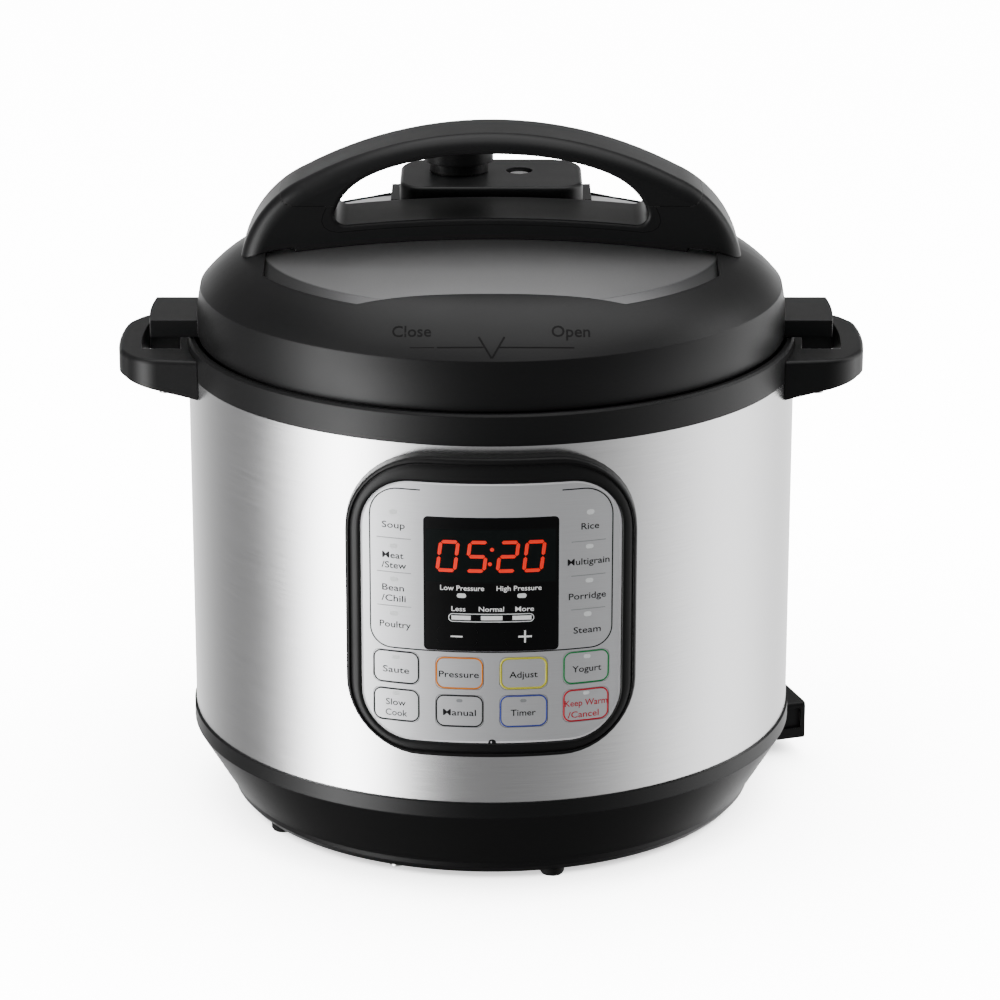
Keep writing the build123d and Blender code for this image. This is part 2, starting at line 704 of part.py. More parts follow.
# Black plastic cover: skirt, shoulder and the two aprons that frame the steel
with BuildPart() as lid_cover:
    with BuildSketch(Plane.XZ):
        with BuildLine():
            ThreePointArc((90, 263.9), (114, 257.6), (131.6, 243.5))
            ThreePointArc((131.6, 243.5), (133.1, 233), (cover_r, cover_bottom))
            Polyline(
                (cover_r, cover_bottom), (130.95, cover_bottom), (130.95, 234), (128.9, 242.2),
                (122, 249.6), (111.5, 257.0), (104, 260.4), (90, 262.45), (90, 263.9),
            )
        make_face()
    revolve(axis=Axis.Z)
    with BuildSketch(Plane.XY.offset(240)) as window:
        Circle(cover_window_r)
        Rectangle(2 * cover_window_x, 2 * cover_window_y, mode=Mode.INTERSECT)
        fillet(window.vertices(), 4)
    extrude(amount=40, mode=Mode.SUBTRACT)
    # Side fins, over the slots in the body's handles
    with BuildSketch(Plane.XY.offset(222.4)):
        Circle(fin_r)
        Circle(132.4, mode=Mode.SUBTRACT)
        Rectangle(400, 2 * fin_half_width, mode=Mode.INTERSECT)
    extrude(amount=7.8)
lid_cover.part.label = "lid_cover"
export_step(lid_cover.part, "parts/lid_cover.step")

# ---------------------------------------------------------------- lid handle
arch_half = 112.0
arch_shoulder = (83.5, 294.3)
arch_top = 314.9
seam_x = 94.5
seam_z = 283.2
bar_under = 306.6

with BuildSketch() as arch_outline:
    with BuildLine():
        ThreePointArc((-arch_shoulder[0], arch_shoulder[1]), (0, arch_top), arch_shoulder)
        ThreePointArc(arch_shoulder, (102.0, 280.0), (arch_half, 259.5))
        Polyline((arch_half, 259.5), (arch_half, 250), (-arch_half, 250), (-arch_half, 259.5))
        ThreePointArc((-arch_half, 259.5), (-102.0, 280.0), (-arch_shoulder[0], arch_shoulder[1]))
    make_face()

hole_corner = (71.5, 273.6)
with BuildSketch() as arch_hole:
    with BuildLine():
        Spline(
            (-hole_corner[0], hole_corner[1]), (-61, 292.5), (-43, 301.0), (0, bar_under),
            (43, 301.0), (61, 292.5), hole_corner,
        )
        ThreePointArc(hole_corner, (0, 277.5), (-hole_corner[0], hole_corner[1]))
    make_face()
    fillet(arch_hole.vertices(), 5)

with BuildSketch() as seam_region:
    with BuildLine():
        Polyline((-seam_x, 330), (-seam_x, seam_z), (seam_x, seam_z), (seam_x, 330), close=True)
    make_face()
    fillet(seam_region.vertices().group_by(Axis.Y)[0], 6)


def handle_arch():
    """Whole arch of the lid handle before it is split along the seam."""
    with BuildPart(mode=Mode.PRIVATE) as arch:
        with BuildSketch(Plane.XZ.offset(-grip_half_depth)):
            add(arch_outline.sketch)
        extrude(amount=2 * grip_half_depth)
        upper = [e for e in arch.edges() if e.center().Z > 262 and abs(e.center().Y) > grip_half_depth - 1]
        fillet(upper, 8)
        with BuildSketch(Plane.XZ.offset(-grip_half_depth)):
            add(arch_hole.sketch)
        extrude(amount=2 * grip_half_depth, mode=Mode.SUBTRACT)
        side_edges = [e for e in arch.edges() if abs(e.center().Y) > grip_half_depth - 0.5]
        rim = [e for e in side_edges if abs(e.center().X) < 72 and 270 < e.center().Z < 309]
        fillet(rim, 1.8)
    return arch.part


whole_arch = handle_arch()

with BuildPart() as handle_grip:
    add(whole_arch)
    with BuildSketch(Plane.XZ.offset(-40)):
        add(seam_region.sketch)
    extrude(amount=80, mode=Mode.INTERSECT)
handle_grip.part.label = "handle_grip"
export_step(handle_grip.part, "parts/handle_grip.step")

with BuildPart() as handle_base:
    add(whole_arch)
    with BuildSketch(Plane.XZ.offset(-40)):
        add(seam_region.sketch)
    extrude(amount=80, mode=Mode.SUBTRACT)
    add(dome_solid(0.25), mode=Mode.SUBTRACT)
    # Clearance over the cover's shoulder, where the ends stand on it
    with BuildSketch(Plane.XZ):
        with BuildLine():
            ThreePointArc((90, 264.0), (114, 257.7), (131.6, 243.6))
            Polyline((131.6, 243.6), (90, 243.6), (90, 264.0))
        make_face()
    revolve(axis=Axis.Z, mode=Mode.SUBTRACT)
    with Locations((-lid_screw_x, 0, 250), (lid_screw_x, 0, 250)):
        Cylinder(1.7, 22.5, align=BOTTOM_ALIGNED, mode=Mode.SUBTRACT)
handle_base.part.label = "handle_base"
export_step(handle_base.part, "parts/handle_base.step")

with BuildPart() as lid_screws:
    pan_head_screws([(-lid_screw_x, 0, 261.0), (lid_screw_x, 0, 261.0)], 4.0, 2.2, 1.65, 8.0)
lid_screws.part.label = "lid_screws"
export_step(lid_screws.part, "parts/lid_screws.step")

# ---------------------------------------------------------------- valves
platform_half_width = 42.0
platform_y = (26.5, 84.0)
platform_mid_y = sum(platform_y) / 2
platform_depth = platform_y[1] - platform_y[0]
platform_wall = 2.5

with BuildPart() as valve_housing:
    with BuildSketch(Plane.XY.offset(255)) as platform_plan:
        with Locations((0, platform_mid_y)):
            Rectangle(2 * platform_half_width, platform_depth)
        fillet(platform_plan.vertices().group_by(Axis.Y)[-1], 16)
        fillet(platform_plan.vertices().group_by(Axis.Y)[0], 12)
    extrude(amount=platform_top - 255)
    fillet(valve_housing.faces().sort_by(Axis.Z)[-1].edges(), 2.0)
    with BuildSketch(Plane.XY.offset(250)) as cavity_plan:
        with Locations((0, platform_mid_y)):
            Rectangle(2 * (platform_half_width - platform_wall), platform_depth - 2 * platform_wall)
        fillet(cavity_plan.vertices().group_by(Axis.Y)[-1], 13.5)
        fillet(cavity_plan.vertices().group_by(Axis.Y)[0], 9.5)
    extrude(amount=platform_top - 250 - platform_wall, mode=Mode.SUBTRACT)
    # Low side tabs that clip under the cover
    with Locations((-platform_half_width - 1.5, 66, 255), (platform_half_width + 1.5, 66, 255)):
        Box(6, 30, 13.5, align=BOTTOM_ALIGNED)
    add(dome_solid(0.2), mode=Mode.SUBTRACT)
    with Locations((valve_x, valve_y, 260)):
        Cylinder(4.4, 40, align=BOTTOM_ALIGNED, mode=Mode.SUBTRACT)
    with Locations((float_x, valve_y, 260)):
        Cylinder(6.2, 40, align=BOTTOM_ALIGNED, mode=Mode.SUBTRACT)
valve_housing.part.label = "valve_housing"
export_step(valve_housing.part, "parts/valve_housing.step")

# Steel vent pipe with a nut under the lid
with BuildPart() as steam_pipe:
    with Locations((valve_x, valve_y, 256)):
        Cylinder(4.2, 30, align=BOTTOM_ALIGNED)
    with BuildSketch(Plane.XY.offset(259.9)):
        with Locations((valve_x, valve_y)):
            RegularPolygon(7.0, 6)
    extrude(amount=3.1)
    with Locations((valve_x, valve_y, 286)):
        Cone(4.2, 2.6, 6, align=BOTTOM_ALIGNED)
    with Locations((valve_x, valve_y, 250)):
        Cylinder(1.5, 60, align=BOTTOM_ALIGNED, mode=Mode.SUBTRACT)
steam_pipe.part.label = "steam_pipe"
export_step(steam_pipe.part, "parts/steam_pipe.step")

# Slotted steel cap that keeps food out of the pipe
with BuildPart() as anti_block_shield:
    with Locations((valve_x, valve_y, 247)):
        Cylinder(10.5, 12.8, align=BOTTOM_ALIGNED)
    with Locations((valve_x, valve_y, 248)):
        Cylinder(9.7, 14, align=BOTTOM_ALIGNED, mode=Mode.SUBTRACT)
    with Locations((valve_x, valve_y, 250)):
        with PolarLocations(0, 4):
            Box(30, 1.6, 6.5, align=BOTTOM_ALIGNED, mode=Mode.SUBTRACT)
    with BuildSketch(Plane.XY.offset(258.3)):
        with Locations((valve_x, valve_y)):
            Circle(10.5)
            Circle(4.25, mode=Mode.SUBTRACT)
    extrude(amount=1.5)
anti_block_shield.part.label = "anti_block_shield"
export_step(anti_block_shield.part, "parts/anti_block_shield.step")

# Weighted release knob, loose on the pipe, with a finger tab
knob_z = (280.4, 300.0)
with BuildPart() as steam_release_knob:
    with Locations((valve_x, valve_y, knob_z[0])):
        Cylinder(13.5, 5, align=BOTTOM_ALIGNED)
    with Locations((valve_x, valve_y, knob_z[0] + 5)):
        Cylinder(16.0, knob_z[1] - knob_z[0] - 5, align=BOTTOM_ALIGNED)
    with BuildSketch(Plane.XY.offset(knob_z[0] + 6)):
        with Locations((valve_x, valve_y + 11)):
            SlotOverall(38, 11, rotation=90)
    extrude(amount=6.1)
    fillet(steam_release_knob.faces().sort_by(Axis.Z)[-1].edges(), 1.8)
    with Locations((valve_x, valve_y, knob_z[0])):
        Cylinder(4.5, 12.2, align=BOTTOM_ALIGNED, mode=Mode.SUBTRACT)
steam_release_knob.part.label = "steam_release_knob"
export_step(steam_release_knob.part, "parts/steam_release_knob.step")

# Float valve: steel pin that rises with the pressure, and its silicone cap below
float_top = 278.6
with BuildPart() as float_valve:
    with Locations((float_x, valve_y, 257.5)):
        Cylinder(3.4, float_top - 257.5, align=BOTTOM_ALIGNED)
    with Locations((float_x, valve_y, float_top - 2.2)):
        Cylinder(4.9, 2.2, align=BOTTOM_ALIGNED)
    with Locations((float_x, valve_y, 254.5)):
        Cylinder(2.0, 3.0, align=BOTTOM_ALIGNED)
    chamfer(float_valve.faces().sort_by(Axis.Z)[-1].edges(), 0.5)
float_valve.part.label = "float_valve"
export_step(float_valve.part, "parts/float_valve.step")

with BuildPart() as float_valve_cap:
    with Locations((float_x, valve_y, 253.4)):
        Cylinder(5.6, 4.0, align=BOTTOM_ALIGNED)
        Cylinder(2.05, 4.0, align=BOTTOM_ALIGNED, mode=Mode.SUBTRACT)
float_valve_cap.part.label = "float_valve_cap"
export_step(float_valve_cap.part, "parts/float_valve_cap.step")

# Locking slide inside the valve housing, which the raised float holds
slide_x = 27.0
with BuildPart() as lock_slide:
    with Locations((slide_x, 58, 268.0)):
        Box(7, 34, 3, align=BOTTOM_ALIGNED)
    with Locations((slide_x - 5.6, 49, 268.0)):
        Box(5, 5, 3, align=BOTTOM_ALIGNED)
    with Locations((slide_x, 76.5, 269.5)):
        Cylinder(1.2, 3, rotation=(90, 0, 0))
lock_slide.part.label = "lock_slide"
export_step(lock_slide.part, "parts/lock_slide.step")

with BuildPart() as lock_spring:
    with BuildLine():
        lock_coil = Helix(
            pitch=1.5, height=5.2, radius=2.1, center=(slide_x, 75.6, 269.5), direction=(0, 1, 0)
        )
    with BuildSketch(Plane(origin=lock_coil @ 0, z_dir=lock_coil % 0)):
        Circle(0.35)
    sweep(path=lock_coil)
lock_spring.part.label = "lock_spring"
export_step(lock_spring.part, "parts/lock_spring.step")

# ---------------------------------------------------------------- seal
seal_z = (224.5, 236.4)
with BuildPart() as sealing_ring:
    with BuildSketch(Plane.XZ):
        with BuildLine():
            Polyline(
                (113, seal_z[0]), (122.5, seal_z[0]), (125.2, 229), (125.2, seal_z[1]),
                (122.6, seal_z[1]), (121.2, 230), (116.4, 230), (115.4, seal_z[1]),
                (111.4, seal_z[1]), (111.4, 227), close=True,
            )
        make_face()
    revolve(axis=Axis.Z)
sealing_ring.part.label = "sealing_ring"
export_step(sealing_ring.part, "parts/sealing_ring.step")

# Wire hoop on six posts that holds the ring against the lid
rack_r = 108.4
rack_wire_r = 1.4
with BuildPart() as ring_rack:
    with Locations((0, 0, 229.5)):
        Torus(rack_r, rack_wire_r)
    with PolarLocations(rack_r, 6, 15):
        with Locations((0, 0, 229.5)):
            Cylinder(1.2, 236.65 - 229.5, align=BOTTOM_ALIGNED)
ring_rack.part.label = "ring_rack"
export_step(ring_rack.part, "parts/ring_rack.step")
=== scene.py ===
import math

import bmesh
import bpy
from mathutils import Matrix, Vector
from mathutils.bvhtree import BVHTree


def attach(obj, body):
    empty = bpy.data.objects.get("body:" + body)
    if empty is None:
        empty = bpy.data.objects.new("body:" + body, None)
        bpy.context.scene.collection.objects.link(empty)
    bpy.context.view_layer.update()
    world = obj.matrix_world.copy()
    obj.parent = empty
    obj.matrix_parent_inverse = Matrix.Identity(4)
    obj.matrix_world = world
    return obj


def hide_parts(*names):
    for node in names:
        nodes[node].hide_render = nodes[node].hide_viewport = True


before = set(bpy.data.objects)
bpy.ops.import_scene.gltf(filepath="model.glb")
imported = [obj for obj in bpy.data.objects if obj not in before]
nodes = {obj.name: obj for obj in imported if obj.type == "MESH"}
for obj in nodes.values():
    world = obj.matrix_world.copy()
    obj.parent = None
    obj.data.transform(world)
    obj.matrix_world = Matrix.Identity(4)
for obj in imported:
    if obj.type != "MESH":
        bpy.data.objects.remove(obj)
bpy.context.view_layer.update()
MM = 0.001

# ------------------------------------------------------------------ studio
# The cooker stands on a pale seamless floor, seen from a little above the worktop.
# One tall softbox on the left, a wide one behind on the right, and a big soft one overhead.
camera = bpy.data.objects.new("camera", bpy.data.cameras.new("camera"))
camera.location = (0, -1.7508, 0.7184)
camera.rotation_euler = (math.radians(71.68), 0, 0)
camera.data.lens = 144
camera.data.sensor_width = 36
camera.data.shift_x = 0.0088
bpy.context.scene.collection.objects.link(camera)
bpy.context.scene.camera = camera


def softbox(name, place, target, width, height, power):
    """Rectangular area light at a place, facing a target."""
    light = bpy.data.lights.new(name, "AREA")
    light.shape = "RECTANGLE"
    light.size = width
    light.size_y = height
    light.energy = power
    lamp = bpy.data.objects.new(name, light)
    lamp.location = place
    lamp.rotation_euler = (Vector(target) - Vector(place)).to_track_quat("-Z", "Y").to_euler()
    bpy.context.scene.collection.objects.link(lamp)


softbox("left_softbox", (-1.30, -0.60, 0.75), (0, 0, 0.15), 0.6, 0.9, 16)
softbox("right_softbox", (1.35, 0.35, 0.85), (0, 0, 0.15), 0.8, 0.9, 9)
softbox("top_softbox", (0.1, 0.25, 2.0), (0, 0, 0.1), 2.2, 2.2, 42)


class Pin:
    """A node output that Python arithmetic can combine; each operation adds a Math node."""

    def __init__(self, tree, socket=None):
        self.tree = tree
        self.socket = socket

    def node(self, kind, settings=None, inputs=None, output=0):
        """Adds a node, with its settings first and then its inputs, and returns one output."""
        made = self.tree.nodes.new(kind)
        for name, value in (settings or {}).items():
            setattr(made, name, value)
        for name, value in (inputs or {}).items():
            if isinstance(value, Pin):
                self.tree.links.new(value.socket, made.inputs[name])
            else:
                made.inputs[name].default_value = value
        return Pin(self.tree, made.outputs[output])

    def math(self, operation, first, second):
        return self.node("ShaderNodeMath", {"operation": operation}, {0: first, 1: second})

    def __add__(self, other):
        return self.math("ADD", self, other)

    def __sub__(self, other):
        return self.math("SUBTRACT", self, other)

    def __mul__(self, other):
        return self.math("MULTIPLY", self, other)

    def __rsub__(self, other):
        return self.math("SUBTRACT", other, self)

    __radd__ = __add__
    __rmul__ = __mul__


# Soft surroundings: a bright screen at the front left, paler ones behind and on the right
world = bpy.data.worlds.new("studio")
world.use_nodes = True
background = world.node_tree.nodes["Background"]
background.inputs["Color"].default_value = (1, 1, 1, 1)
direction = Pin(world.node_tree).node("ShaderNodeTexCoord")
sides = direction.node("ShaderNodeSeparateXYZ", inputs={0: direction}, output="X")
depths = direction.node("ShaderNodeSeparateXYZ", inputs={0: direction}, output="Y")
heights = direction.node("ShaderNodeSeparateXYZ", inputs={0: direction}, output="Z")
turn = sides.math("ARCTAN2", sides, 0 - depths)


def screen(centre, width, strength):
    """Brightness of a soft-edged screen at an angle round the object, both in degrees."""
    aligned = turn.math("COSINE", turn - math.radians(centre), 0.0)
    return strength * turn.math("EXPONENT", (aligned - 1) * (2 / math.radians(width) ** 2), 0.0)


def ramp(low, high):
    """Smooth rise from 0 to 1 as the direction climbs from one slope to another."""
    return heights.node(
        "ShaderNodeMapRange", {"interpolation_type": "SMOOTHSTEP"},
        {"Value": heights, "From Min": low, "From Max": high},
    )


walls = screen(-57, 17, 16.0) + screen(180, 34, 2.4) + screen(102, 38, 2.9)
band = ramp(-0.8, -0.5) * (1 - ramp(-0.1, 0.25))
brightness = 0.14 + band * (walls + 0.14)
world.node_tree.links.new(brightness.socket, background.inputs["Strength"])
bpy.context.scene.world = world


def new_finish(name, constants):
    """Material with the constants set on its Principled shader, and its Object coordinates."""
    made = bpy.data.materials.new(name)
    made.use_nodes = True
    shader = made.node_tree.nodes["Principled BSDF"]
    for socket, value in constants.items():
        shader.inputs[socket].default_value = value
    return made, Pin(made.node_tree).node("ShaderNodeTexCoord", output="Object")


def drive(made, socket, pin):
    """Links a pattern to one socket of the material's shader."""
    shader = made.node_tree.nodes["Principled BSDF"]
    made.node_tree.links.new(pin.socket, shader.inputs[socket])


def noise(place, size, detail=2.0):
    """Noise value whose blotches are about size across, in metres."""
    return place.node(
        "ShaderNodeTexNoise", inputs={"Vector": place, "Scale": 1 / size, "Detail": detail}
    )


def shade_between(factor, low, high):
    """Colour that runs from low to high with the factor."""
    return factor.node(
        "ShaderNodeMix", {"data_type": "RGBA"}, {0: factor, 6: (*low, 1), 7: (*high, 1)}, 2
    )


def relief(height, depth, normal=None):
    """Bump normal for a height pattern of a depth in metres, over another normal if given."""
    inputs = {"Height": height, "Distance": depth, "Strength": 1.0}
    if normal:
        inputs["Normal"] = normal
    return height.node("ShaderNodeBump", inputs=inputs)


floor_mesh = bpy.data.meshes.new("floor")
floor_mesh.from_pydata([(-6, -4, 0), (6, -4, 0), (6, 8, 0), (-6, 8, 0)], [], [(0, 1, 2, 3)])
floor = bpy.data.objects.new("floor", floor_mesh)
bpy.context.scene.collection.objects.link(floor)
floor_paint, place = new_finish(
    "floor_paint", {"Specular IOR Level": 0.2, "Emission Color": (1, 1, 1, 1), "Emission Strength": 1.0}
)
drive(floor_paint, "Base Color", shade_between(noise(place, 0.4), (0.86, 0.86, 0.86), (0.9, 0.9, 0.9)))
drive(floor_paint, "Roughness", 0.55 + 0.1 * noise(place, 0.05))
floor_mesh.materials.append(floor_paint)
floor.visible_glossy = False
floor.visible_diffuse = False

# Wide overhead light on the floor alone, which gives the soft shadow under the cooker
sky = bpy.data.lights.new("floor_light", "SUN")
sky.energy = 48
sky.angle = math.radians(120)
sky_lamp = bpy.data.objects.new("floor_light", sky)
bpy.context.scene.collection.objects.link(sky_lamp)
lit_by_sky = bpy.data.collections.new("lit_by_floor_light")
lit_by_sky.objects.link(floor)
sky_lamp.light_linking.receiver_collection = lit_by_sky

# ------------------------------------------------------------------ base
# Injection-moulded polypropylene tub with a fine spark texture, a vented plate screwed in below,
# and five pressed-in rubber feet. Four-lobed pan-head screws of zinc-plated steel hold the plate.


def moulded(name, shade, rough, pebble, depth, edge):
    """Moulded plastic: spark-textured pebbles, slow changes of sheen, softly rounded edges."""
    made, place = new_finish(name, {"Specular IOR Level": 0.2})
    pebbles = noise(place, pebble, 3.0)
    flow = noise(place, 0.03)
    low = tuple(c * 0.85 for c in shade)
    high = tuple(c * 1.2 for c in shade)
    drive(made, "Base Color", shade_between(pebbles, low, high))
    drive(made, "Roughness", rough - 0.09 + 0.1 * flow + 0.08 * pebbles)
    edges = place.node("ShaderNodeBevel", {"samples": 4}, {"Radius": edge})
    drive(made, "Normal", relief(pebbles, depth, edges))
    return made


def paint(finish, *names):
    """Puts a finish on CAD nodes."""
    for name in names:
        piece = nodes[name]
        if not piece.material_slots:
            piece.data.materials.append(finish)
        for slot in piece.material_slots:
            slot.material = finish


def plated(name, shade, rough, size=0.002):
    """Plain bright metal with faint handling marks."""
    made, place = new_finish(name, {"Metallic": 1.0})
    marks = noise(place, size, 4.0)
    low = tuple(c * 0.9 for c in shade)
    drive(made, "Base Color", shade_between(marks, low, shade))
    drive(made, "Roughness", rough + 0.14 * marks)
    edges = place.node("ShaderNodeBevel", {"samples": 4}, {"Radius": 0.0002})
    drive(made, "Normal", relief(marks, 0.00001, edges))
    return made


base_black = moulded("black_plastic", (0.0066, 0.0066, 0.0069), 0.42, 0.0007, 0.00002, 0.0006)
foot_rubber = moulded("rubber", (0.006, 0.006, 0.006), 0.75, 0.0012, 0.00004, 0.0005)
zinc = plated("zinc_screw", (0.62, 0.62, 0.60), 0.25)
paint(base_black, "base_housing", "base_plate")
paint(foot_rubber, "rubber_feet")
paint(zinc, "base_screws")

# ------------------------------------------------------------------ power inlet
# Socket for the detachable cord, moulded in the same black plastic and set at an angle at the
# rear right; three nickel-flashed brass blades stand inside its mouth.
paint(base_black, "inlet_housing")
paint(plated("brass_pin", (0.72, 0.62, 0.38), 0.22), "inlet_pins")

# ------------------------------------------------------------------ steel shell and rim
# Drum of 0.8 mm stainless sheet, brushed around its girth before it is rolled, so the fine grain
# runs level. The black rim above it is moulded with the trough that catches condensation.


def brushed(name, shade, rough, run, pitch, depth, turned=0.4, metal=1.0):
    """Brushed steel whose grain runs level: long streaks round the body, fine ones up it."""
    made, place = new_finish(name, {"Metallic": metal, "Anisotropic": turned})
    stretched = place.node(
        "ShaderNodeVectorMath", {"operation": "MULTIPLY"}, {0: place, 1: (1 / run, 1 / run, 1 / pitch)}
    )
    streaks = place.node(
        "ShaderNodeTexNoise", inputs={"Vector": stretched, "Scale": 1.0, "Detail": 4.0, "Roughness": 0.65}
    )
    cloud = noise(place, 0.05)
    low = tuple(c * 0.88 for c in shade)
    high = tuple(min(1, c * 1.1) for c in shade)
    drive(made, "Base Color", shade_between(streaks, low, high))
    drive(made, "Roughness", rough - 0.08 + 0.12 * streaks + 0.04 * cloud)
    drive(made, "Normal", relief(streaks, depth))
    return made


shell_steel = brushed("brushed_steel", (0.66, 0.66, 0.665), 0.24, 0.02, 0.00035, 0.000006)
paint(shell_steel, "outer_shell")
paint(base_black, "top_ring")

# ------------------------------------------------------------------ side handles
# Two moulded brackets screwed up into the rim from below. The curved slot in each holds the lid's
# fin when the open lid is stood on edge beside the pot.
paint(base_black, "handle_left", "handle_right")
paint(zinc, "handle_screws")

# ------------------------------------------------------------------ pots and heater
# Pressed steel liner, drawn cooking pot with a polished inside, and the cast aluminium hot plate
# with its tubular element, sprung sensor, fuse and the power board under them.
pot_steel = brushed("pot_steel", (0.74, 0.74, 0.73), 0.24, 0.03, 0.0004, 0.000004, 0.3)
sheet_steel = plated("coil_steel", (0.58, 0.58, 0.60), 0.34)
paint(pot_steel, "outer_pot", "inner_pot")
paint(plated("cast_aluminium", (0.72, 0.72, 0.73), 0.42, 0.0012), "heating_plate")
paint(sheet_steel, "heating_coil", "heater_bracket", "sensor_spring", "sensor_button")
paint(moulded("fuse_body", (0.62, 0.58, 0.5), 0.6, 0.0008, 0.00002, 0.0003), "thermal_fuse")

board_green, place = new_finish("circuit_board", {"Coat Weight": 0.4, "Coat Roughness": 0.2})
weave = noise(place, 0.0006)
tracks = place.node("ShaderNodeTexVoronoi", {"distance": "MANHATTAN"}, {"Vector": place, "Scale": 260.0})
copper = tracks.math("GREATER_THAN", tracks, 0.62)
green = shade_between(weave, (0.02, 0.09, 0.035), (0.03, 0.13, 0.05))
drive(board_green, "Base Color", copper.node(
    "ShaderNodeMix", {"data_type": "RGBA"}, {0: copper, 6: green, 7: (0.05, 0.2, 0.08, 1)}, 2
))
drive(board_green, "Roughness", 0.4 + 0.15 * weave)
paint(board_green, "power_board", "control_board")

# ------------------------------------------------------------------ control panel
# A curved black frame snapped into the drum's front opening. Inside its grooved lip lies a film
# printed in brushed silver, with a smoked window over the digits.
panel_r = 144.0
bezel_half = 62.6
bezel_low, bezel_high = 69.2, 204.6
face_half = 55.9
face_low, face_high = 75.8, 193.4


def rounded_loop(half, low, high, low_r, high_r, steps=12, side=10):
    """Points round an upright rounded rectangle; like-shaped loops match point for point."""
    corners = [
        (half - low_r, low + low_r, low_r, -90),
        (half - high_r, high - high_r, high_r, 0),
        (high_r - half, high - high_r, high_r, 90),
        (low_r - half, low + low_r, low_r, 180),
    ]
    loop = []
    for x, z, r, start in corners:
        arc = [math.radians(start + 90 * i / steps) for i in range(steps + 1)]
        points = [(x + r * math.cos(a), z + r * math.sin(a)) for a in arc]
        if loop:
            (x0, z0), (x1, z1) = loop[-1], points[0]
            loop += [(x0 + (x1 - x0) * i / side, z0 + (z1 - z0) * i / side) for i in range(1, side)]
        loop += points
    (x0, z0), (x1, z1) = loop[-1], loop[0]
    loop += [(x0 + (x1 - x0) * i / side, z0 + (z1 - z0) * i / side) for i in range(1, side)]
    return loop


def on_panel(x, z, radius):
    """Place on the panel's upright cylinder, in metres, for sizes in millimetres."""
    return Vector((x, -math.sqrt(radius**2 - x**2), z)) * MM


def add_piece(name, mesh, body, finishes, smooth=True):
    """Links a finished mesh as a piece that rides on a body."""
    for finish in finishes:
        mesh.materials.append(finish)
    if smooth:
        mesh.shade_smooth()
    piece = bpy.data.objects.new(name, mesh)
    bpy.context.scene.collection.objects.link(piece)
    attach(piece, body)
    return piece


bezel_black = moulded("gloss_black", (0.0058, 0.0058, 0.006), 0.45, 0.0005, 0.000008, 0.0002)
outer_loop = rounded_loop(bezel_half, bezel_low, bezel_high, 32, 36)
inner_loop = rounded_loop(face_half + 0.15, face_low - 0.15, face_high + 0.15, 22.15, 22.15)
# Section of the frame: share of the way in, and radius from the pot's axis
section = [
    (0.0, 137.62), (0.0, 143.6), (0.02, 144.3), (0.07, 144.75), (0.14, 144.92), (0.20, 144.85),
    (0.245, 144.6), (0.26, 144.15), (0.29, 144.05), (0.32, 144.3), (0.36, 144.62), (0.5, 144.9),
    (0.7, 144.97), (0.88, 144.9), (0.96, 144.6), (1.0, 144.1), (1.0, 141.5), (1.5, 141.45), (1.5, 137.62),
]
bezel_shape = bmesh.new()
rings = []
for share, radius in section:
    ring = []
    for (x0, z0), (x1, z1) in zip(outer_loop, inner_loop):
        x, z = x0 + (x1 - x0) * share, z0 + (z1 - z0) * share
        ring.append(bezel_shape.verts.new(on_panel(x, z, radius)))
    rings.append(ring)
count = len(outer_loop)
for ring, after in zip(rings, rings[1:] + rings[:1]):
    for i in range(count):
        j = (i + 1) % count
        bezel_shape.faces.new((ring[i], ring[j], after[j], after[i]))
bmesh.ops.recalc_face_normals(bezel_shape, faces=bezel_shape.faces)
bezel_mesh = bpy.data.meshes.new("panel_frame")
bezel_shape.to_mesh(bezel_mesh)
bezel = add_piece("panel_frame", bezel_mesh, "body", [bezel_black])
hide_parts("panel_bezel")

silver_film = brushed("panel_silver", (0.62, 0.625, 0.64), 0.42, 0.012, 0.00022, 0.000003, 0.0, 0.45)
paint(silver_film, "panel_overlay")
paint(silver_film, *[n for n in nodes if n.startswith("key_") and n not in ("key_minus", "key_plus")])

window_black, place = new_finish("window_black", {"Specular IOR Level": 0.12})
dust = noise(place, 0.0009, 3.0)
drive(window_black, "Base Color", shade_between(dust, (0.0022, 0.0022, 0.0024), (0.0035, 0.0035, 0.0038)))
drive(window_black, "Roughness", 0.3 + 0.1 * dust)
paint(window_black, "display_window", "key_minus", "key_plus")
paint(window_black, "led_display")

# ------------------------------------------------------------------ panel print
# Everything printed on the film: dial words, hairlines, coloured key outlines and the lit digits, with a
# painted highlight along the film's edge.
# Each mark is an ink layer a few hundredths thick, and marks on a key move with that key.
ink_radius = panel_r + 0.01
ink_depth = 0.05


def ink(name, colour, rough=0.45, glow=0.0):
    """Printing ink with slightly uneven cover."""
    made, place = new_finish(name, {"Emission Strength": glow, "Specular IOR Level": 0.2})
    cover = noise(place, 0.0008, 3.0)
    low = tuple(c * 0.86 for c in colour)
    drive(made, "Base Color", shade_between(cover, low, colour))
    drive(made, "Roughness", rough + 0.12 * cover)
    if glow:
        drive(made, "Emission Color", shade_between(cover, low, colour))
    return made


